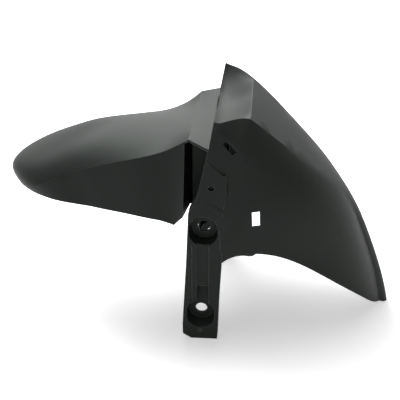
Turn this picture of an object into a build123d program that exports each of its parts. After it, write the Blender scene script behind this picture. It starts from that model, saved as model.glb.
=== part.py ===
from build123d import *
from math import atan2, cos, degrees, radians, sin
import os

# Front mudguard of a motorcycle, one moulded piece, all lengths in millimetres.
# +X runs to the tail, +Z up, the piece is the same on both sides of Y = 0.
# The origin lies on the floor, midway between nose and tail.

# Wall of the moulding
WALL = 3.0

# The wheel axle is the centre of every cross section of the arch
AXLE_X = -45.0
AXLE_Z = -5.0
# Lean of the fork, which is also the lean of the wing's front edge
FORK_ANGLE = 79.9

# Nose and dome: angle about the axle, half width and radius of the side crease,
# radius of the crown, slope of the dome where it meets the crease
NOSE_STATIONS = [
    (137.55, 23.0, 319.5, 334.0, 63.5),
    (136.2, 39.0, 313.0, 336.0, 68.0),
    (134.6, 54.0, 307.0, 336.0, 69.0),
    (129.6, 76.0, 296.5, 328.6, 66.0),
    (120.5, 78.0, 288.0, 318.8, 55.0),
    (115.0, 78.0, 285.0, 315.2, 49.0),
    (101.0, 79.0, 282.5, 304.0, 31.0),
    (95.0, 79.0, 286.0, 302.5, 22.0),
    (90.5, 79.0, 293.5, 304.5, 13.0),
    (87.2, 81.0, 304.0, 307.5, 4.0),
    (84.8, 86.0, 315.5, 311.5, -4.0),
]
# The deck edge runs straight out from the notch corner to the wing
NOTCH_CORNER = (84.8, 86.0, 315.5, 311.5, -4.0)
NOTCH_VERTEX = (FORK_ANGLE, 108.5, 317.2, 318.0, 0.0)
NOSE_BASE_RADIUS = 150.0
SIDE_DRAFT = 4.0

# Wings: angle, radius of the deck at the middle, crest, character line, lower edge,
# and how far the hollow stays below the crest
WING_STATIONS = [
    (78.7, 326.0, (110.0, 355.5), (111.0, 344.5), (112.5, 150.0), (6.0, 14.0)),
    (77.0, 332.5, (100.5, 357.5), (110.5, 340.0), (112.5, 150.0), (5.0, 8.0)),
    (75.0, 342.5, (88.0, 358.5), (109.5, 332.5), (112.5, 150.0), (4.0, 4.5)),
    (72.8, 357.5, (76.5, 357.0), (108.5, 324.0), (112.5, 150.0), (3.0, 3.2)),
]
# The wing's front edge is a strip turned inwards from the leading edge
WING_TIP = (113.5, 356.0)
WING_FRONT = (FORK_ANGLE, 318.0, WING_TIP, (111.5, 340.0), (112.0, 150.0), (0.0, 0.0))
WING_FRONT_CAVITY = (310.5, (98.0, 309.5), (105.5, 303.5), (109.0, 150.0))
WING_ROOT = 0.74
WING_RISE = 0.06
# Below this rise of the crest over the middle the deck is one plain curve
FLAT_DECK = 6.0

# The fold along the character line is sharp on the wing and fades behind it
FOLD_START = 72.8
FOLD_FADE = 7.0

# Rear arch: the crests close in on the ridge, then the ridge runs down to the tail
TAIL_STATIONS = [
    (72.8, 357.5, (76.5, 357.0), (108.5, 324.0), (112.5, 150.0), (3.0, 3.2)),
    (69.0, 349.5, (73.5, 348.5), (106.0, 312.0), (111.5, 150.0), (3.0, 3.2)),
    (64.0, 340.0, (68.0, 338.5), (100.5, 303.5), (108.0, 150.0), (3.0, 3.2)),
    (58.0, 332.0, (59.5, 330.0), (93.5, 301.5), (103.0, 160.0), (3.0, 3.2)),
    (51.0, 327.5, (46.5, 325.0), (86.5, 296.0), (98.0, 175.0), (3.0, 3.2)),
    (44.0, 325.5, (29.5, 322.5), (79.5, 288.5), (92.0, 190.0), (3.0, 3.2)),
    (38.0, 323.5, (17.5, 319.0), (73.0, 284.0), (86.0, 200.0), (3.0, 3.2)),
    (30.0, 320.0, (13.0, 313.0), (65.0, 281.0), (78.0, 210.0), (3.0, 3.2)),
    (20.0, 319.5, (12.0, 311.0), (55.5, 282.0), (67.0, 220.0), (3.0, 3.2)),
    (11.0, 325.0, (11.0, 314.5), (44.0, 289.0), (54.0, 230.0), (3.0, 3.2)),
    (3.0, 334.0, (10.0, 321.0), (30.0, 300.0), (40.0, 240.0), (3.0, 3.2)),
    (-3.0, 341.5, (9.0, 327.0), (19.0, 309.0), (28.0, 250.0), (3.0, 3.2)),
]

# Lower edge of the moulding in the side view
NOSE_LIP = [(-304.0, 216.5), (-266.0, 212.5), (-224.0, 208.3), (-58.0, 181.5)]
FRONT_PANEL_CORNER = (-38.5, 176.0)
FRONT_PANEL_TOP = (-16.5, 205.5)
LEG_ROOT_FRONT = (-15.0, 214.5)
LEG_ROOT_REAR = (30.2, 132.5)
REAR_EDGE_FRONT = [(40.0, 142.0), (52.0, 146.5), (62.0, 146.3)]
EDGE_NUB = [(66.0, 144.8), (72.0, 144.8), (77.0, 149.3)]
REAR_EDGE = [(103.0, 142.5), (129.5, 128.8), (167.5, 101.5), (215.8, 60.5), (248.0, 29.5), (268.0, 10.0)]
TAIL_TIP = (286.0, 0.0)

# Fork recess in the side panel, seen from above as a tapered bay behind the nose panel
RECESS_TOP_DROP = 3.5
RECESS_FRONT_X = -25.0
RECESS_FLOOR_X = -14.0
RECESS_HALF_WIDTH = 64.0

# Legs
LEG_FACE_TOP = 113.5
LEG_FACE_FOOT = 117.5
LEG_DEPTH = 19.0
LEG_TOP_Z = 232.0
LEG_CORNERS = [(-18.7, 128.0), (-24.5, 27.0), (-24.3, 8.0), (-12.0, 0.0), (26.5, 1.5), (28.0, 75.0)]
LEDGE_START = (-3.7, 239.5)
LEDGE_END = (30.5, 219.5)

# Bolt cups sunk into the legs
CUP_DEPTH = 15.0
CUP_DRAFT = 2.5
UPPER_CUP = (5.2, 188.0)
UPPER_CUP_HALF = (19.8, 23.0)
LOWER_CUP = (1.8, 46.5)
LOWER_CUP_HALF = (20.2, 25.0)
CUP_STRAIGHT = 0.4
BOLT_HOLE_RADIUS = 8.5

# Centre channel between the cups and the notch that opens into the lower cup
CHANNEL_X = 4.9
CHANNEL_WIDTH = 16.2
CHANNEL_DEPTH = 2.2
NOTCH_TOP_Z = 97.0
NOTCH_DEPTH = 12.0
CUPS = [(UPPER_CUP, UPPER_CUP_HALF), (LOWER_CUP, LOWER_CUP_HALF)]
CHANNEL_Z = (UPPER_CUP[1] + LOWER_CUP[1]) / 2
CHANNEL_HIGH = UPPER_CUP[1] - LOWER_CUP[1]
NOTCH_HIGH = NOTCH_TOP_Z - LOWER_CUP[1]
NOTCH_Z = (NOTCH_TOP_Z + LOWER_CUP[1]) / 2
GROOVE_X = -12.5
GROOVE_WIDTH = 4.0
GROOVE_DEPTH = 1.2

# Small holes
SCREW_HOLE = (15.0, 254.5)
SCREW_HOLE_RADIUS = 4.3
FOOT_HOLE = (0.7, 16.0)
FOOT_HOLE_RADIUS = 4.0
WING_SLOT = (36.7, 311.0)
WING_SLOT_SIZE = (20.5, 7.0)
WING_SLOT_TILT = -51.0
PANEL_SLOT = (73.8, 210.3)
PANEL_SLOT_SIZE = (10.0, 23.0)
PANEL_SLOT_TILT = 4.0

# Screw plate above the leg ledge
PLATE_CORNERS = [(7.5, 293.0), (18.0, 283.0), (29.0, 274.0), (33.5, 272.5), (34.5, 246.0), (30.5, 219.5)]
PLATE_FACE = 112.6
# Pad that joins the face of the leg to the panel behind it
ROOT_PAD = (22.0, 110.7, 214.0)
ROOT_PAD_SIZE = (8.0, 2.0, 17.0)

# A box far larger than the piece, for cutting with half spaces
FAR = 400.0


def on_section(angle, y, r):
    """Point of the cross section at an angle about the axle."""
    a = radians(angle)
    return Vector(AXLE_X + r * cos(a), y, AXLE_Z + r * sin(a))


def section_dir(angle, dy, dr):
    """Direction inside the cross section at an angle about the axle."""
    a = radians(angle)
    return Vector(dr * cos(a), dy, dr * sin(a))


def side_face(points):
    """Closed polygon drawn in the side view."""
    corners = [Vector(x, 0, z) for x, z in points]
    return make_face(Polyline(*corners, close=True))


def both_ways(face, half_width=FAR):
    """Side-view face pushed out to both sides of the middle."""
    return extrude(face, amount=half_width, dir=(0, 1, 0), both=True)


def mirrored(shape):
    """The shape together with its twin on the other side."""
    return [shape, mirror(shape, about=Plane.XZ)]


# Nose and dome
def nose_section(station, inset=0.0):
    """Closed wire of the dome and side panels at one angle."""
    angle, y, r, crown, slope = station
    a = radians(slope)
    y_in = y - inset
    r_in = r - inset * cos(a) / (1 + sin(a))
    base_y = y_in + SIDE_DRAFT * min(1.0, y / 70.0)
    left = on_section(angle, -y_in, r_in)
    right = on_section(angle, y_in, r_in)
    middle = on_section(angle, 0, crown - inset)
    ends = [section_dir(angle, cos(a), sin(a)), section_dir(angle, cos(a), -sin(a))]
    base_left = on_section(angle, -base_y, NOSE_BASE_RADIUS)
    base_right = on_section(angle, base_y, NOSE_BASE_RADIUS)
    top = Spline(left, middle, right, tangents=ends)
    return Wire([Line(base_left, left), top, Line(right, base_right), Line(base_right, base_left)])


def nose_body(inset=0.0):
    """Dome from the nose tip to the notch corner, then the deck edge out to the wing."""
    dome = Solid.make_loft([nose_section(s, inset) for s in NOSE_STATIONS], ruled=bool(inset))
    flare = [nose_section(s, inset) for s in (NOTCH_CORNER, NOTCH_VERTEX)]
    return dome.fuse(Solid.make_loft(flare, ruled=True))


# Wings and rear arch
def arch_points(station, inset=0.0):
    """Middle, crest, character line and lower edge, moved inwards by the inset."""
    angle, middle, crest, line, base, drop = station
    if not inset:
        return angle, middle, crest, line, base
    crest_in = (crest[0] - drop[0], crest[1] - drop[1])
    line_in = (line[0] - inset, line[1] - 0.45 * inset)
    return angle, middle - inset, crest_in, line_in, (base[0] - inset, base[1])


def fold(upper, corner, lower, softness):
    """Directions on both sides of a corner, turned towards each other by the softness."""
    into = (corner - upper).normalized()
    out = (lower - corner).normalized()
    mean = (into + out).normalized()
    return [(d * (1 - softness) + mean * softness).normalized() for d in (into, out)]


def arch_section(angle, middle, crest, line, base, inside=False):
    """Closed wire of the deck, the wing faces and the side panels at one angle."""
    rise = crest[1] - middle
    flat = rise < FLAT_DECK
    root = (WING_ROOT * crest[0], middle + (WING_ROOT ** 2 if flat else WING_RISE) * rise)
    deck = [(-crest[0], crest[1]), (-root[0], root[1]), (0, middle), root, crest]
    if flat and not inside:
        deck = [(-crest[0], crest[1]), (0, middle), crest]
    points = [on_section(angle, y, r) for y, r in deck]
    top = Polyline(*points).edges() if inside else [Spline(*points)]
    softness = min(1.0, max(0.0, (FOLD_START - angle) / FOLD_FADE))
    edges = []
    for side in (-1, 1):
        a, b, c = [on_section(angle, side * y, r) for y, r in (crest, line, base)]
        into, out = fold(a, b, c, softness)
        first = Spline(a, b, tangents=[(b - a).normalized() * 2 - into, into])
        second = Spline(b, c, tangents=[out, (c - b).normalized() * 2 - out])
        edges += [first, second]
    closing = Line(edges[1] @ 1, edges[3] @ 1)
    return Wire(top + edges + [closing])


def wing_body(inset=0.0):
    """The two wings and the deck between them."""
    front = WING_FRONT[:5]
    if inset:
        front = (FORK_ANGLE + 0.5,) + WING_FRONT_CAVITY
    sections = [arch_section(*arch_points(s, inset)) for s in WING_STATIONS]
    lead = Solid.make_loft([arch_section(*front), sections[0]], ruled=True)
    return lead.fuse(Solid.make_loft(sections))


def tail_body(inset=0.0):
    """Rear arch from the cross crease to below the tail tip."""
    inside = bool(inset)
    sections = [arch_section(*arch_points(s, inset), inside) for s in TAIL_STATIONS]
    return Solid.make_loft(sections, ruled=inside)


# Fork recess
def recess(grow=0.0):
    """Bay for one fork leg, open to the outside and below."""
    low = 120.0
    front_x = RECESS_FRONT_X - grow
    floor_x = RECESS_FLOOR_X - grow
    floor_y = RECESS_HALF_WIDTH - grow
    plan = [(front_x, 90.0), (floor_x, floor_y), (60.0, floor_y), (60.0, FAR), (front_x - 4.0, FAR)]
    plan_face = make_face(Polyline(*[Vector(x, y, low) for x, y in plan], close=True))
    bay = extrude(plan_face, amount=250.0, dir=(0, 0, 1))
    shift = grow / sin(radians(FORK_ANGLE))
    fork_top = on_section(FORK_ANGLE, 0, 420.0)
    fork_low = on_section(FORK_ANGLE, 0, 100.0)
    side = [(-60.0, 100.0), (-60.0, 300.0 + 40.0 * bool(grow)), (fork_top.X + shift, fork_top.Z)]
    side += [(fork_low.X + shift, fork_low.Z)]
    bay = bay & both_ways(side_face(side))
    if grow:
        return bay
    corner = on_section(NOTCH_CORNER[0], 0, NOTCH_CORNER[2] - RECESS_TOP_DROP)
    vertex = on_section(NOTCH_VERTEX[0], 0, NOTCH_VERTEX[2] - RECESS_TOP_DROP)
    lid = [(corner.X - 30.0, corner.Z - 22.0), (corner.X, corner.Z), (vertex.X, vertex.Z)]
    lid += [(vertex.X + 40.0, vertex.Z), (vertex.X + 40.0, 450.0), (corner.X - 30.0, 450.0)]
    return bay - both_ways(side_face(lid))


# Outline of the moulding in the side view
def side_outline():
    """Everything above the lower edge of the moulding."""
    lip = Spline(*[Vector(x, 0, z) for x, z in NOSE_LIP[:3]])
    front = NOSE_LIP[2:] + [FRONT_PANEL_CORNER, FRONT_PANEL_TOP, (-12.0, 192.0), (26.0, 192.0), LEG_ROOT_REAR]
    straight = Polyline(*[Vector(x, 0, z) for x, z in front])
    nub_front = [LEG_ROOT_REAR] + REAR_EDGE_FRONT
    root = Spline(*[Vector(x, 0, z) for x, z in nub_front])
    nub = Polyline(*[Vector(x, 0, z) for x, z in REAR_EDGE_FRONT[-1:] + EDGE_NUB])
    rear = Spline(*[Vector(x, 0, z) for x, z in EDGE_NUB[-1:] + REAR_EDGE + [TAIL_TIP]])
    far = [TAIL_TIP, (FAR, TAIL_TIP[1]), (FAR, FAR), (-FAR, FAR), (-FAR, NOSE_LIP[0][1]), NOSE_LIP[0]]
    rest = Polyline(*[Vector(x, 0, z) for x, z in far])
    return make_face(Wire([lip] + straight.edges() + [root] + nub.edges() + [rear] + rest.edges()))


def shell():
    """Arch, wings and nose as one thin wall, open below."""
    outer = nose_body().fuse(wing_body(), tail_body())
    inner = nose_body(WALL).fuse(wing_body(WALL), tail_body(WALL))
    for bay in mirrored(recess()):
        outer = outer - bay
    for bay in mirrored(recess(WALL)):
        inner = inner - bay
    return (outer - inner) & both_ways(side_outline())


# Legs
def tilt_leg(shape):
    """Lean the leg so that its foot stands further out than its root."""
    lean = degrees(atan2(LEG_FACE_FOOT - LEG_FACE_TOP, LEG_TOP_Z))
    return shape.rotate(Axis((0, LEG_FACE_FOOT - LEG_DEPTH, 0), (1, 0, 0)), lean)


def leg_outline():
    """Side view of one leg from the ledge to the chamfered foot."""
    points = [LEDGE_START, LEG_ROOT_FRONT] + LEG_CORNERS + [LEG_ROOT_REAR, LEDGE_END]
    return side_face(points)


def prism(face, outer_y, depth):
    """Side-view face turned into a slab that reaches inwards from the outer face."""
    slab = extrude(face, amount=depth, dir=(0, -1, 0))
    return Pos(0, outer_y, 0) * slab


def cup_section(centre, half, y):
    """Oval section of a cup at one depth, two half circles with a short straight between them."""
    plane = Plane(origin=(centre[0], y, centre[1]), x_dir=(1, 0, 0), z_dir=(0, -1, 0))
    high = max(half[1], half[0] + CUP_STRAIGHT)
    return (plane * SlotOverall(2 * high, 2 * half[0], rotation=90)).wires()[0]


def cup_cone(centre, half, depth, grow=0.0):
    """Tapered oval plug from just outside the outer face down to a depth."""
    slope = [CUP_DRAFT / CUP_DEPTH, (half[1] - half[0] + CUP_DRAFT) / CUP_DEPTH]
    sections = []
    for y in (LEG_FACE_FOOT + WALL, LEG_FACE_FOOT - depth):
        size = [h + grow + s * (y - LEG_FACE_FOOT) for h, s in zip(half, slope)]
        sections.append(cup_section(centre, size, y))
    return Solid.make_loft(sections, ruled=True)


def on_leg(centre, y):
    """Place in the side view of the upright leg, before it is leant."""
    return Pos(centre[0], y, centre[1])


def leg():
    """One leg with its rim and the backs of its cups, channel and notch."""
    outline = leg_outline()
    slab = prism(outline, LEG_FACE_FOOT, FAR)
    body = prism(outline, LEG_FACE_FOOT, LEG_DEPTH)
    body = body - prism(offset(outline, amount=-WALL), LEG_FACE_FOOT - WALL, LEG_DEPTH)
    for centre, half in CUPS:
        body = body + (cup_cone(centre, half, CUP_DEPTH + WALL, WALL) & slab)
    channel = Box(CHANNEL_WIDTH + 2 * WALL, 2 * (CHANNEL_DEPTH + WALL), CHANNEL_HIGH)
    body = body + (on_leg((CHANNEL_X, CHANNEL_Z), LEG_FACE_FOOT) * channel & slab)
    notch = Box(CHANNEL_WIDTH + 2 * WALL, 2 * (NOTCH_DEPTH + WALL), NOTCH_HIGH + 2 * WALL)
    body = body + (on_leg((CHANNEL_X, NOTCH_Z), LEG_FACE_FOOT) * notch & slab)
    return tilt_leg(body)


def leg_cuts():
    """Cups, channel, notch, groove and holes sunk into one leg from outside."""
    cuts = [cup_cone(centre, half, CUP_DEPTH) for centre, half in CUPS]
    channel = Box(CHANNEL_WIDTH, 2 * CHANNEL_DEPTH, CHANNEL_HIGH)
    cuts.append(on_leg((CHANNEL_X, CHANNEL_Z), LEG_FACE_FOOT) * channel)
    notch = Box(CHANNEL_WIDTH, 2 * NOTCH_DEPTH, NOTCH_HIGH)
    cuts.append(on_leg((CHANNEL_X, NOTCH_Z), LEG_FACE_FOOT) * notch)
    groove_high = CHANNEL_HIGH - UPPER_CUP_HALF[1] - LOWER_CUP_HALF[1]
    groove = Box(GROOVE_WIDTH, 2 * GROOVE_DEPTH, groove_high)
    cuts.append(on_leg((GROOVE_X, CHANNEL_Z), LEG_FACE_FOOT) * groove)
    cuts += [bore(centre, BOLT_HOLE_RADIUS) for centre, half in CUPS]
    cuts.append(bore(FOOT_HOLE, FOOT_HOLE_RADIUS))
    return [tilt_leg(cut) for cut in cuts] + [bore(SCREW_HOLE, SCREW_HOLE_RADIUS)]


def bore(centre, radius):
    """Round hole along Y through one side of the piece."""
    drill = Cylinder(radius, 70.0, rotation=(90, 0, 0))
    return Pos(centre[0], 110.0, centre[1]) * drill


def slot(centre, size, tilt):
    """Rectangular slot along Y through one side of the piece."""
    return Pos(centre[0], 100.0, centre[1]) * Rot(0, -tilt, 0) * Box(size[0], 60.0, size[1])


def screw_plate():
    """Flat plate that stands a little proud above the ledge."""
    face = side_face([LEDGE_START] + PLATE_CORNERS)
    return prism(face, PLATE_FACE, 2 * WALL)


def mudguard():
    """The whole moulding."""
    body = shell()
    for one in mirrored(leg()):
        body = body + one
    for one in mirrored(screw_plate()) + mirrored(Pos(*ROOT_PAD) * Box(*ROOT_PAD_SIZE)):
        body = body + one
    cuts = leg_cuts()
    cuts.append(slot(WING_SLOT, WING_SLOT_SIZE, WING_SLOT_TILT))
    cuts.append(slot(PANEL_SLOT, PANEL_SLOT_SIZE, PANEL_SLOT_TILT))
    for cut in cuts:
        for one in mirrored(cut):
            body = body - one
    return body


os.makedirs("parts", exist_ok=True)
piece = mudguard()
print("solids", len(piece.solids()), "volume cm3", round(piece.volume / 1000, 1))
print("box", piece.bounding_box())
export_step(piece, "parts/mudguard.step")
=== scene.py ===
# %% [markdown]
# # A moulded front mudguard in black plastic
# The mudguard is one injection-moulded piece: a domed nose, two flared wings, a tapering
# tail and a leg on each side that carries the bolt cups. Its form comes from the CAD frame,
# so this script only has to give it the surface of the real thing and light it plainly.
# We begin by loading that frame.

# %% Load the frame
import bpy
import bmesh
import math
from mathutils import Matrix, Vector


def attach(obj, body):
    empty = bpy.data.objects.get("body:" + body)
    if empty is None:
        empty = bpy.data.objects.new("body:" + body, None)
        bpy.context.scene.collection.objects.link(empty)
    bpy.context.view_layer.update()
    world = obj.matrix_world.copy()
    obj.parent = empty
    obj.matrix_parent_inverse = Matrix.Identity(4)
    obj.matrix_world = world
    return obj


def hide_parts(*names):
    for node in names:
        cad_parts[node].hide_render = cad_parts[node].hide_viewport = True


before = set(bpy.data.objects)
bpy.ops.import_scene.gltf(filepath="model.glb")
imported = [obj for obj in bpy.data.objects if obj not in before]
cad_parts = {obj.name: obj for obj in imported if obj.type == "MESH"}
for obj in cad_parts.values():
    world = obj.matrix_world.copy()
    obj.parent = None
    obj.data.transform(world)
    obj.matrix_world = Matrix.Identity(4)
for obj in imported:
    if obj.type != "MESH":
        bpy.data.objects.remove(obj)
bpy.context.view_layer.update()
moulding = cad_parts["mudguard"]
print("triangles in the moulding:", len(moulding.data.polygons))

# %% [markdown]
# ## The skin of the moulding
# The frame's mesh has the right form but looks hard, because every fold is a knife edge and
# points that lie on each other are not joined. It may not be changed, so we work on a copy
# and join those points first. In each wing the hollow below comes out through the deck in a
# pinhole two millimetres long. A separate patch could hide it, but capping both faces of
# the wall keeps the skin one closed mesh. Last, faces that meet at a small angle count as
# one flowing surface and are shaded smooth. In front of the wings the deck bends up without
# an edge, so there a larger angle still counts as flowing.

# %% Copy the moulding and join its points
JOIN_DISTANCE = 0.00002

mesh = moulding.data.copy()
mesh.name = "mudguard_skin"
work = bmesh.new()
work.from_mesh(mesh)
loose_points = len(work.verts)
bmesh.ops.remove_doubles(work, verts=work.verts, dist=JOIN_DISTANCE)
bmesh.ops.dissolve_degenerate(work, edges=work.edges, dist=JOIN_DISTANCE)
print("points before and after joining:", loose_points, len(work.verts))

# %% Close the pinholes in the wings
# The rim is where deck and hollow meet at more than this angle, inside this box
KNIFE_ANGLE = math.radians(85)
PINHOLE = ((0.0310, 0.0333), (0.0698, 0.0720), (0.3197, 0.3215))
WALL_LEFT = 0.0008


def inside(point, box):
    """True where a point lies in a box given as (low, high) for X, Y and Z."""
    return all(low < value < high for value, (low, high) in zip(point, box))


def at_pinhole(edge):
    """True where both ends of an edge lie at a pinhole, on either side of the piece."""
    return all(inside((v.co.x, abs(v.co.y), v.co.z), PINHOLE) for v in edge.verts)


rim = [e for e in work.edges if e.calc_face_angle(0.0) > KNIFE_ANGLE and at_pinhole(e)]
bmesh.ops.split_edges(work, edges=rim)
ends = [e for e in work.edges if e.is_boundary]
caps = bmesh.ops.holes_fill(work, edges=ends, sides=0)["faces"]
work.normal_update()
inner = {v for cap in caps if cap.normal.z < 0 for v in cap.verts}
for point in inner:
    point.co.z -= WALL_LEFT
still_open = sum(not e.is_manifold for e in work.edges)
print("rim edges:", len(rim), "caps:", len(caps), "open edges left:", still_open)

# %% Shade the flowing surfaces smooth
FLOWING_ANGLE = math.radians(24)
SOFT_ANGLE = math.radians(50)
SOFT_FOLD = ((0.004, 0.020), (-0.094, 0.094), (0.302, 0.330))

for face in work.faces:
    face.smooth = True
for edge in work.edges:
    middle = (edge.verts[0].co + edge.verts[1].co) / 2
    limit = SOFT_ANGLE if inside(middle, SOFT_FOLD) else FLOWING_ANGLE
    edge.smooth = edge.is_manifold and edge.calc_face_angle(0.0) < limit
print("edges that stay sharp:", sum(not e.smooth for e in work.edges))

# %% Make the skin
work.to_mesh(mesh)
work.free()
mesh.materials.clear()
skin = bpy.data.objects.new("mudguard_skin", mesh)
bpy.context.scene.collection.objects.link(skin)
print("points in the skin:", len(skin.data.vertices))

# %% [markdown]
# ## Black moulded plastic
# The real surface is unpainted black plastic with a very fine satin grain. It has four
# things to show: a dark colour with a faint green cast, a broad soft sheen, grain too small
# to see one by one, which breaks up that sheen, and the thin light along its corners, which
# is painted into the colour as a paler tone. Colour, sheen and grain come from noise at each
# point's place in space. The piece doesn't move, so they stay put when the camera does. The
# painted corner highlight could go on an unwrapped skin, but the Bevel node finds the corners
# by itself: near a corner its rounded normal turns away from the face's own normal, and that
# turn is the mask.

# %% Start the material
OFF_TO_ON = (0.0, 1.0)


def add_node(tree, kind, place, **values):
    """Adds one shader node and sets its options or its sockets by name."""
    node = tree.nodes.new(kind)
    node.location = place
    for key, value in values.items():
        if hasattr(node, key):
            setattr(node, key, value)
        else:
            node.inputs[key].default_value = value
    return node


def wire(tree, out_node, out_name, in_node, in_name):
    """Joins one socket to another."""
    tree.links.new(out_node.outputs[out_name], in_node.inputs[in_name])


def map_range(tree, place, source, target, **options):
    """Adds a Map Range node that takes one span of values to another."""
    names = ("From Min", "From Max", "To Min", "To Max")
    sockets = dict(zip(names, (*source, *target)))
    return add_node(tree, "ShaderNodeMapRange", place, **options, **sockets)


plastic = bpy.data.materials.new("black_moulded_plastic")
plastic.use_nodes = True
black = plastic.node_tree
shader = black.nodes["Principled BSDF"]
spot = add_node(black, "ShaderNodeNewGeometry", (-1400, 0))
print("nodes to start from:", [node.name for node in black.nodes])

# %% Colour of the plastic
PLASTIC_DARK = (0.0046, 0.0058, 0.0047, 1.0)
PLASTIC_LIGHT = (0.0076, 0.0092, 0.0078, 1.0)
CLOUD_SCALE = 9.0
CLOUD_DETAIL = 3.0
CLOUD_SPAN = (0.35, 0.70)

clouds = add_node(black, "ShaderNodeTexNoise", (-1100, 300),
                  Scale=CLOUD_SCALE, Detail=CLOUD_DETAIL)
wire(black, spot, "Position", clouds, "Vector")
tint = add_node(black, "ShaderNodeValToRGB", (-850, 300))
stops = zip(tint.color_ramp.elements, CLOUD_SPAN, (PLASTIC_DARK, PLASTIC_LIGHT))
for stop, position, shade in stops:
    stop.position, stop.color = position, shade
wire(black, clouds, "Fac", tint, "Fac")
print("dark and light of the plastic:", PLASTIC_DARK[:3], PLASTIC_LIGHT[:3])

# %% Painted highlight on the corners
# A Mix node has sockets of one name for each kind of value; these are those for colours
MIX_COLOUR_A, MIX_COLOUR_B, MIX_RESULT = 6, 7, 2
EDGE_ROUND = 0.0010
EDGE_SAMPLES = 8
# Paler tone painted into the colour of the corners as their highlight
PAINTED_EDGE_HIGHLIGHT = (0.150, 0.158, 0.152, 1.0)
# Cosine of the turn where the painted corner highlight starts, and where it is full
TURN_SPAN = (0.99, 0.93)

round_edge = add_node(black, "ShaderNodeBevel", (-1400, -450),
                      samples=EDGE_SAMPLES, Radius=EDGE_ROUND)
turned = add_node(black, "ShaderNodeVectorMath", (-1100, 0), operation="DOT_PRODUCT")
wire(black, round_edge, "Normal", turned, 0)
wire(black, spot, "Normal", turned, 1)
corner = map_range(black, (-850, 0), TURN_SPAN, OFF_TO_ON)
wire(black, turned, "Value", corner, "Value")
painted_corner_highlight = add_node(black, "ShaderNodeMix", (-400, 300), data_type="RGBA")
wire(black, corner, "Result", painted_corner_highlight, "Factor")
wire(black, tint, "Color", painted_corner_highlight, MIX_COLOUR_A)
painted_corner_highlight.inputs[MIX_COLOUR_B].default_value = PAINTED_EDGE_HIGHLIGHT
wire(black, painted_corner_highlight, MIX_RESULT, shader, "Base Color")
print("pale within mm of a corner:", EDGE_ROUND * 1000)

# %% Sheen and grain
SHINE = 0.20
SHINE_TINT = (0.90, 1.0, 0.93, 1.0)
SATIN_FROM = (0.3, 0.7)
SATIN_TO = (0.50, 0.56)
GRAIN_SCALE = 1400.0
GRAIN_DETAIL = 2.0
GRAIN_HEIGHT = 0.0002
GRAIN_STRENGTH = 0.20

shader.inputs["Specular IOR Level"].default_value = SHINE
shader.inputs["Specular Tint"].default_value = SHINE_TINT
satin = map_range(black, (-600, 0), SATIN_FROM, SATIN_TO)
wire(black, clouds, "Fac", satin, "Value")
wire(black, satin, "Result", shader, "Roughness")
grain = add_node(black, "ShaderNodeTexNoise", (-1100, -200),
                 Scale=GRAIN_SCALE, Detail=GRAIN_DETAIL)
wire(black, spot, "Position", grain, "Vector")
bump = add_node(black, "ShaderNodeBump", (-600, -300),
                Strength=GRAIN_STRENGTH, Distance=GRAIN_HEIGHT)
wire(black, grain, "Fac", bump, "Height")
wire(black, round_edge, "Normal", bump, "Normal")
wire(black, bump, "Normal", shader, "Normal")
print("roughness of the satin:", SATIN_TO)

# %% Dress the piece in the plastic
skin.data.materials.append(plastic)
moulding.data.materials.clear()
moulding.data.materials.append(plastic)
print("nodes in the plastic:", len(black.nodes))

# %% [markdown]
# ## Eased edges
# A mould has no knife edges: every corner is eased by about half a millimetre, and at arm's
# length that reads as a thin line of light. The edges could be rounded in the mesh itself,
# but a bevel modifier of two steps does it from one number and leaves the copy editable.
# The skin then rides on the body, stands for the moulding and takes its plastic slot.

# %% Ease the sharp edges
EDGE_EASE = 0.0006
EDGE_STEPS = 2
SHARP_ANGLE = math.radians(35)

ease = skin.modifiers.new("eased_edges", "BEVEL")
ease.width = EDGE_EASE
ease.segments = EDGE_STEPS
ease.limit_method = "ANGLE"
ease.angle_limit = SHARP_ANGLE
ease.use_clamp_overlap = True
ease.harden_normals = True

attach(skin, "root")
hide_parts("mudguard")
print("edges eased by mm:", EDGE_EASE * 1000)

# %% [markdown]
# ## Floor
# The piece stands on its two feet and the tip of its tail. A wide pale floor takes its soft
# shadow. Rays from the camera, and rays that bounce off gloss or pass through, see it
# brighter than it is: less so in a long patch around the piece, and up to white away from
# it. That dimmer patch keeps the real shadow and adds painted shade of its own under the
# piece. More light would whiten it too, but would wash out the black plastic.

# %% Lay the floor
FLOOR_SIZE = 12.0
FLOOR_TONE = 0.80

bpy.ops.mesh.primitive_plane_add(size=FLOOR_SIZE, location=(0, 0, 0))
floor = bpy.context.object
floor.name = "floor"
pale = bpy.data.materials.new("pale_floor")
pale.use_nodes = True
floor.data.materials.append(pale)
ground = pale.node_tree
ground.nodes.remove(ground.nodes["Principled BSDF"])
paint = add_node(ground, "ShaderNodeBsdfDiffuse", (-200, 100),
                 Color=(FLOOR_TONE, FLOOR_TONE, FLOOR_TONE, 1.0))
print("floor size in m:", FLOOR_SIZE)

# %% Lift the floor to white away from the piece, leaving painted shade near it
# Near the piece the lift stays low, which paints shade there on top of the real shadow
FLOOR_LIFT_IN_PAINTED_SHADE = 0.42
WHITE = 1.0
# Distances in metres; those across the piece count more, so the painted shade is long and
# narrow like the piece
WHITE_FROM, WHITE_AT = 0.12, 0.60
PAINTED_SHADE_FOOTPRINT = (1.0, 2.2, 1.0)


def seen_directly(tree, place):
    """1 for rays from the camera, or that reflect or pass through; 0 for soft light."""
    path = add_node(tree, "ShaderNodeLightPath", place)
    first = add_node(tree, "ShaderNodeMath", (place[0] + 200, place[1]), operation="MAXIMUM")
    wire(tree, path, "Is Camera Ray", first, 0)
    wire(tree, path, "Is Glossy Ray", first, 1)
    both = add_node(tree, "ShaderNodeMath", (place[0] + 400, place[1]), operation="MAXIMUM")
    wire(tree, first, "Value", both, 0)
    wire(tree, path, "Is Transmission Ray", both, 1)
    return both


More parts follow.
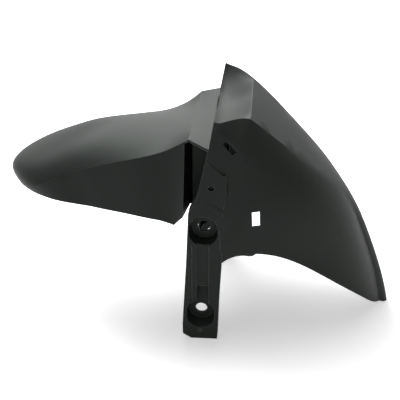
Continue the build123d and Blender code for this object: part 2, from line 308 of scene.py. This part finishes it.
here = add_node(ground, "ShaderNodeNewGeometry", (-1000, -500))
narrow = add_node(ground, "ShaderNodeVectorMath", (-800, -500), operation="MULTIPLY")
narrow.inputs[1].default_value = PAINTED_SHADE_FOOTPRINT
wire(ground, here, "Position", narrow, 0)
away = add_node(ground, "ShaderNodeVectorMath", (-600, -500), operation="LENGTH")
wire(ground, narrow, "Vector", away, 0)
rise = map_range(ground, (-400, -500), (WHITE_FROM, WHITE_AT), (FLOOR_LIFT_IN_PAINTED_SHADE, WHITE),
                 interpolation_type="SMOOTHSTEP")
wire(ground, away, "Value", rise, "Value")
scale = add_node(ground, "ShaderNodeMath", (-400, -200), operation="MULTIPLY")
wire(ground, seen_directly(ground, (-1000, -200)), "Value", scale, 0)
wire(ground, rise, "Result", scale, 1)
lift = add_node(ground, "ShaderNodeEmission", (-200, -100))
wire(ground, scale, "Value", lift, "Strength")
total = add_node(ground, "ShaderNodeAddShader", (0, 0))
wire(ground, paint, "BSDF", total, 0)
wire(ground, lift, "Emission", total, 1)
wire(ground, total, "Shader", ground.nodes["Material Output"], "Surface")
print("nodes in the floor:", len(ground.nodes))

# %% [markdown]
# ## Background
# The same rays see a white world, so floor and background run into each other with no
# horizon line from any side. All other rays get only a faint light from it, because soft
# light from everywhere would take the shadow and the dark sides away.

# %% World
AMBIENT = 0.025

world = bpy.data.worlds.new("pale_studio")
bpy.context.scene.world = world
world.use_nodes = True
sky = world.node_tree
background = sky.nodes["Background"]
background.inputs["Color"].default_value = (WHITE, WHITE, WHITE, 1.0)
level = map_range(sky, (-300, 0), OFF_TO_ON, (AMBIENT, WHITE))
wire(sky, seen_directly(sky, (-900, 0)), "Value", level, "Value")
wire(sky, level, "Result", background, "Strength")
print("soft light of the room:", AMBIENT)

# %% [markdown]
# ## Studio light
# On a black part most of what we see is the reflection of the lamps. Small lamps would
# leave hard spots on the sheen, so all of them are wide panels. Three in one column behind
# the piece, low, half high and overhead, make its upper faces pale. A stronger one, high
# behind the nose, gives the dome its long soft highlight, and a faint one in front keeps
# the upright sides just off black.

# %% Lights
LIGHT_TARGET = Vector((0.0, 0.0, 0.2))
LIGHT_REACH = 2.0
PANEL_SIZE = (1.4, 1.0)


def stand_and_aim(thing, place, target):
    """Stands a lamp or camera in the scene, looking at a target; gives the way to it."""
    thing.location = place
    aim = Vector(target) - Vector(place)
    thing.rotation_mode = "QUATERNION"
    thing.rotation_quaternion = aim.to_track_quat("-Z", "Y")
    bpy.context.scene.collection.objects.link(thing)
    return aim


def soft_panel(name, turn, rise, power):
    """A soft area light; turn in degrees from the tail side, rise in degrees from the floor."""
    data = bpy.data.lights.new(name, "AREA")
    data.shape = "RECTANGLE"
    data.size, data.size_y = PANEL_SIZE
    data.energy = power
    turn, rise = math.radians(turn), math.radians(rise)
    out = LIGHT_REACH * math.cos(rise)
    reach = Vector((out * math.cos(turn), out * math.sin(turn), LIGHT_REACH * math.sin(rise)))
    stand_and_aim(bpy.data.objects.new(name, data), LIGHT_TARGET + reach, LIGHT_TARGET)


# Name, turn, rise and watts
PANELS = (
    ("low_back", 92, 22, 12.0),
    ("back", 92, 48, 10.0),
    ("overhead", 90, 76, 11.0),
    ("high_left", 136, 49, 44.0),
    ("front_left", 215, 30, 4.0),
)
for panel in PANELS:
    soft_panel(*panel)
print("watts in all:", sum(power for *_, power in PANELS))

# %% [markdown]
# ## Camera
# The photograph looks down at about 31 degrees, almost square to the side of the piece.
# The distance and the focal length were worked out from pairs of points that mirror each
# other on the two sides.

# %% Camera
CAMERA_PLACE = (0.065362, -0.771776, 0.634666)
CAMERA_TARGET = (-0.010297, 0.0, 0.168714)
FOCAL_LENGTH = 54.0
SENSOR_WIDTH = 36.0
NEAREST, FARTHEST = 0.01, 50.0

view = bpy.data.cameras.new("camera")
view.lens = FOCAL_LENGTH
view.sensor_width = SENSOR_WIDTH
view.clip_start, view.clip_end = NEAREST, FARTHEST
camera = bpy.data.objects.new("camera", view)
aim = stand_and_aim(camera, CAMERA_PLACE, CAMERA_TARGET)
bpy.context.scene.camera = camera
bpy.context.scene.view_settings.view_transform = "Standard"
print("camera distance in m:", round(aim.length, 4))
